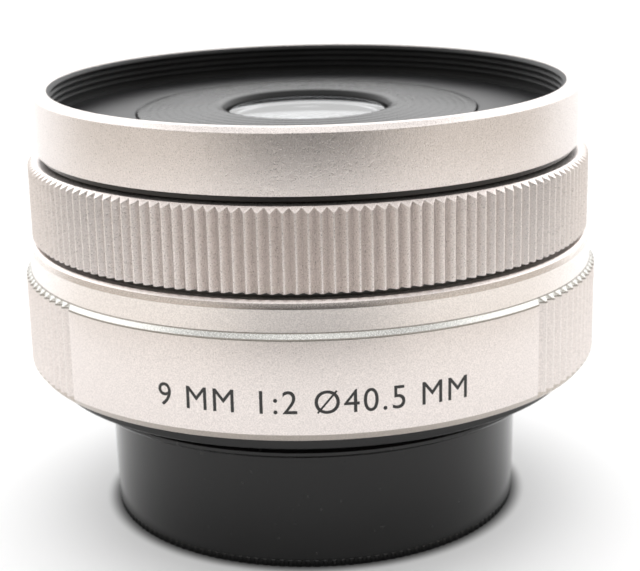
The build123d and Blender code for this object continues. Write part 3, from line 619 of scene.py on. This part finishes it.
prof = [
    (15.05, Z_CAP_TOP, 0.04), (18.60, Z_CAP_TOP, 0.05), (18.60, -0.74, 0.03), (18.90, -1.04, 0.05), (18.90, -1.26, 0.05),
    (18.62, -1.52, 0.04), (16.62, -1.62, 0.05), (16.52, -1.97, 0.12), (16.40, Z_CAP_LOW + 0.62, 0.03), (16.32, Z_CAP_LOW + 0.57, 0.02),
    (16.40, Z_CAP_LOW + 0.50, 0.03), (16.40, Z_CAP_LOW, 0.10), (0.0, Z_CAP_LOW), (0.0, Z_CAP_LOW + 1.60),
    (15.05, Z_CAP_LOW + 1.60, 0.3),
]
order = prof[12:] + prof[:12]
pts = rounded([(p[0], p[1], p[2]) if len(p) > 2 else (p[0], p[1], 0) for p in order])
inner = [p for p in pts]
revolve("rear_cap_shell", inner[1:] + inner[:1], angles=angles, field=flute, mats=(M_CAP,), closed=False, body="rear_cap", replaces=("rear_cap",))


# ---- lugs inside the cap --------------------------------------------------
def arc_block(parts, r0, r1, z0, z1, a0, a1, k=14, soft=0.10):
    """A closed block bent around Z with softened outer corners, added to parts."""
    verts, faces = parts
    ring = rounded([(r0, z0, soft), (r0, z1, soft), (r1, z1, 0.0), (r1, z0, 0.0)])
    m, base = len(ring), len(verts)
    for i in range(k + 1):
        a = math.radians(a0 + (a1 - a0) * i / k)
        for r, z in ring:
            verts.append((r * math.cos(a) * MM, r * math.sin(a) * MM, z * MM))
    for i in range(k):
        for j in range(m):
            p, q = base + i * m + j, base + i * m + (j + 1) % m
            faces.append((p, q, q + m, p + m))
    faces.append(tuple(base + j for j in range(m - 1, -1, -1)))
    faces.append(tuple(base + k * m + j for j in range(m)))


parts = ([], [])
for a in (90, 210, 330):
    mid = a + 60
    arc_block(parts, CAP_LUG_R, 15.04, -1.85, -0.75, mid - CAP_LUG_ARC / 2, mid + CAP_LUG_ARC / 2)
mesh = bpy.data.meshes.new("rear_cap_lugs")
mesh.from_pydata(parts[0], [], parts[1])
mesh.validate()
mesh.materials.append(M_CAP)
lugs = bpy.data.objects.new("rear_cap_lugs", mesh)
bpy.context.scene.collection.objects.link(lugs)
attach(lugs, "rear_cap")

# ---- marking on the label band --------------------------------------------
def marking(name, text, start_deg, z_base, height, weight=0.0, spread=1.0, squeeze=1.0):
    """Painted characters as thin closed solids wrapped on the label band. Angles run to the right from -Y."""
    curve = bpy.data.curves.new(name + "_curve", "FONT")
    curve.body = text
    curve.size = 1.0
    curve.space_character = spread
    curve.offset = weight
    curve.extrude = 0.5
    curve.resolution_u = 6
    temp = bpy.data.objects.new(name + "_temp", curve)
    bpy.context.scene.collection.objects.link(temp)
    deps = bpy.context.evaluated_depsgraph_get()
    deps.update()
    mesh = bpy.data.meshes.new_from_object(temp.evaluated_get(deps))
    bpy.data.objects.remove(temp, do_unlink=True)
    bpy.data.curves.remove(curve)
    mesh.name = name
    import bmesh
    bm = bmesh.new()
    bm.from_mesh(mesh)
    bmesh.ops.remove_doubles(bm, verts=bm.verts, dist=1e-5)
    bmesh.ops.triangulate(bm, faces=bm.faces)
    xs = [v.co.x for v in bm.verts]
    left, right = min(xs), max(xs)
    for step in range(int((right - left) / 0.11)):
        x = left + 0.11 * (step + 1)
        bmesh.ops.bisect_plane(bm, geom=list(bm.verts) + list(bm.edges) + list(bm.faces), plane_co=(x, 0, 0), plane_no=(1, 0, 0))
    bmesh.ops.remove_doubles(bm, verts=bm.verts, dist=1e-5)
    bmesh.ops.dissolve_degenerate(bm, edges=bm.edges, dist=1e-5)
    x0 = min(v.co.x for v in bm.verts)
    k = height / 0.70
    for v in bm.verts:
        a = math.radians(start_deg) + (v.co.x - x0) * k * squeeze / R_MAX
        r = R_MAX + (0.012 if v.co.z > 0 else -0.030)
        v.co = Vector((r * math.sin(a), -r * math.cos(a), z_base + v.co.y * k)) * MM
    bmesh.ops.recalc_face_normals(bm, faces=bm.faces)
    bm.to_mesh(mesh)
    bm.free()
    mesh.materials.clear()
    mesh.materials.append(M_INK)
    obj = bpy.data.objects.new(name, mesh)
    bpy.context.scene.collection.objects.link(obj)
    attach(obj, "barrel")
    return obj


marking("marking_a", "9 MM", LABEL_TURN - 26.0, 3.40, 1.70, 0.0, 1.12, 0.98)
marking("marking_b", "1:2", LABEL_TURN - 7.0, 3.40, 1.70, 0.0, 1.12, 0.98)
marking("marking_c", "\u00d840.5 MM", LABEL_TURN + 2.6, 3.40, 1.70, 0.0, 1.12, 0.98)

# --------------------------------------------------------------------------
# stage, light, camera
# --------------------------------------------------------------------------
AMBIENT, BACK, TOP, SKY = 0.54, 1.35, 0.82, 1.20
floor_mesh = bpy.data.meshes.new("floor")
S, ZF = 3.0, Z_CAP_LOW * MM
floor_mesh.from_pydata([(-S, -S, ZF), (S, -S, ZF), (S, S, ZF), (-S, S, ZF)], [], [(0, 1, 2, 3)])
floor = bpy.data.objects.new("floor", floor_mesh)
bpy.context.scene.collection.objects.link(floor)


def floor_build(g, b, obj, sep):
    n = g.noise(obj, 40.0, 2.0, 0.5)
    away = g.math("SQRT", g.math("ADD", g.math("MULTIPLY", sep.outputs[0], sep.outputs[0]), g.math("MULTIPLY", sep.outputs[1], sep.outputs[1])))
    # painted contact shadow: a thin dark ring painted into the paper's colour where the cap's edge meets it
    line = g.smooth(away, 0.0163, 0.0176)
    paper = g.mix(n, rgba((0.93, 0.93, 0.93)), rgba((0.95, 0.95, 0.95)))
    g.put(b.inputs["Base Color"], g.mix(line, rgba((0.16, 0.16, 0.16)), paper))
    b.inputs["Roughness"].default_value = 0.8
    b.inputs["Specular IOR Level"].default_value = 0.1


floor_mesh.materials.append(material("floor_paper", floor_build))

world = bpy.data.worlds.new("studio")
bpy.context.scene.world = world
world.use_nodes = True
wt = world.node_tree
wt.nodes.clear()
g = Graph(wt)
wout = wt.nodes.new("ShaderNodeOutputWorld")
geo = g.node("ShaderNodeTexCoord").outputs["Generated"]
sep = g.node("ShaderNodeSeparateXYZ", Vector=geo)
# az: 0 straight at the camera side (-Y), pi behind the object
az = g.math("ARCTAN2", sep.outputs[0], g.math("MULTIPLY", sep.outputs[1], -1.0))
az = g.math("ABSOLUTE", az)
up = sep.outputs[2]
back = g.smooth(az, math.radians(70), math.radians(150), 0.0, BACK)
back = g.math("MULTIPLY", back, g.smooth(up, 0.35, 0.85, 1.0, 0.0))
low = g.math("MULTIPLY", g.smooth(az, math.radians(145), math.radians(172)), g.smooth(up, 0.10, 0.26, 1.0, 0.0))
back = g.math("MULTIPLY", back, g.math("SUBTRACT", 1.0, g.math("MULTIPLY", low, 0.65)))
topl = g.math("ADD", g.smooth(up, 0.45, 0.85, 0.0, 0.25), g.smooth(up, 0.91, 0.985, 0.0, TOP))
side_sky = g.math("MULTIPLY", g.smooth(az, math.radians(55), math.radians(105)), g.smooth(up, 0.25, 0.60))
front_sky = g.smooth(up, 0.50, 0.64)
sky = g.math("MULTIPLY", g.math("MAXIMUM", side_sky, front_sky), g.smooth(up, 0.75, 0.87, SKY, 0.0))
level = g.math("ADD", g.math("ADD", AMBIENT, sky), g.math("ADD", back, topl))
lp = g.node("ShaderNodeLightPath")
cam_white = g.mix(lp.outputs["Is Camera Ray"], level, (1.05, 1.05, 1.05, 1.0))
bg = wt.nodes.new("ShaderNodeBackground")
wt.links.new(cam_white, bg.inputs["Color"])
bg.inputs["Strength"].default_value = 1.0
wt.links.new(bg.outputs[0], wout.inputs[0])

# a soft dark panel on the camera side that only reflections see
flag_mesh = bpy.data.meshes.new("flag")
F_R, F_SPAN, FZ0, FZ1 = 0.108, 128.0, ZF + 0.0002, 0.066
fv, ff = [], []
for i in range(65):
    a = math.radians(-F_SPAN + 2 * F_SPAN * i / 64)
    fv += [(F_R * math.sin(a), -F_R * math.cos(a), FZ0), (F_R * math.sin(a), -F_R * math.cos(a), FZ1)]
    if i:
        ff.append((2 * i - 2, 2 * i, 2 * i + 1, 2 * i - 1))
flag_mesh.from_pydata(fv, [], ff)
flag = bpy.data.objects.new("flag", flag_mesh)
bpy.context.scene.collection.objects.link(flag)
flag.visible_camera = False
flag.visible_diffuse = False
flag.visible_shadow = False
flag.visible_transmission = False


def flag_material():
    mat = bpy.data.materials.new("flag_panel")
    mat.use_nodes = True
    t = mat.node_tree
    t.nodes.clear()
    g = Graph(t)
    out = t.nodes.new("ShaderNodeOutputMaterial")
    obj = g.node("ShaderNodeTexCoord").outputs["Object"]
    sep = g.node("ShaderNodeSeparateXYZ", Vector=obj)
    n = g.noise(obj, 30.0, 2.0, 0.5)
    turn = g.math("ARCTAN2", sep.outputs[0], g.math("MULTIPLY", sep.outputs[1], -1.0))
    turn = g.math("ABSOLUTE", g.math("SUBTRACT", turn, math.radians(FLAG_AIM)))
    glow = g.smooth(turn, math.radians(FLAG_A0), math.radians(FLAG_A1), FLAG_MID, FLAG_SIDE)
    foot = g.smooth(sep.outputs[2], -0.0095, -0.0038, 1.0, 0.0)
    glow = g.math("ADD", g.math("MULTIPLY", glow, g.math("SUBTRACT", 1.0, foot)), g.math("MULTIPLY", foot, FLAG_LOW))
    glow = g.math("ADD", glow, g.math("MULTIPLY", n, 0.01))
    em = t.nodes.new("ShaderNodeEmission")
    em.inputs["Color"].default_value = (1.0, 0.94, 0.86, 1.0)
    t.links.new(glow, em.inputs["Strength"])
    clear = t.nodes.new("ShaderNodeBsdfTransparent")
    side = g.smooth(turn, math.radians(88), math.radians(122))
    crown = g.smooth(sep.outputs[2], FZ1 - 0.026, FZ1)
    fade = g.math("MAXIMUM", side, crown)
    mixer = t.nodes.new("ShaderNodeMixShader")
    t.links.new(fade, mixer.inputs[0])
    t.links.new(em.outputs[0], mixer.inputs[1])
    t.links.new(clear.outputs[0], mixer.inputs[2])
    t.links.new(mixer.outputs[0], out.inputs[0])
    return mat


FLAG_LOW, FLAG_MID, FLAG_SIDE, FLAG_A0, FLAG_A1, FLAG_AIM = 1.15, 0.05, 0.78, 10.0, 46.0, 2.5
flag_mesh.materials.append(flag_material())

scene = bpy.context.scene
scene.view_settings.view_transform = "Standard"
scene.view_settings.look = "None"
scene.view_settings.exposure = 0.0

TURN = math.radians(2.5)
pit, yaw, roll = math.radians(16.0262), math.radians(0.3008), math.radians(-1.2763)
pos = Vector((0.0, -126.854, 42.461))
fwd = Vector((math.sin(yaw) * math.cos(pit), math.cos(yaw) * math.cos(pit), -math.sin(pit)))
rt = fwd.cross(Vector((0, 0, 1))).normalized()
upv = rt.cross(fwd)
r2 = math.cos(roll) * rt + math.sin(roll) * upv
u2 = -math.sin(roll) * rt + math.cos(roll) * upv
cam_data = bpy.data.cameras.new("camera")
cam = bpy.data.objects.new("camera", cam_data)
bpy.context.scene.collection.objects.link(cam)
basis = Matrix(((r2.x, u2.x, -fwd.x, pos.x * MM), (r2.y, u2.y, -fwd.y, pos.y * MM), (r2.z, u2.z, -fwd.z, pos.z * MM), (0, 0, 0, 1)))
cam.matrix_world = Matrix.Rotation(TURN, 4, "Z") @ basis
cam_data.sensor_width = 36.0
cam_data.lens = 1615.775 / 640.0 * 36.0
cam_data.clip_start, cam_data.clip_end = 0.001, 20.0
cam_data.shift_x = 0.7 / 640.0
# the focus stays on the near side of the lens, from wherever the camera stands
cam_data.dof.use_dof = True
cam_data.dof.aperture_fstop = 120.0
cam["near_side"] = 0.1045 - cam.matrix_world.translation.length
focus = cam_data.driver_add("dof.focus_distance").driver
focus.type = "SUM"
gap = focus.variables.new()
gap.name = "gap"
gap.type = "LOC_DIFF"
gap.targets[0].id, gap.targets[1].id = cam, floor
offset = focus.variables.new()
offset.name = "offset"
offset.type = "SINGLE_PROP"
offset.targets[0].id, offset.targets[0].data_path = cam, '["near_side"]'
scene.camera = cam
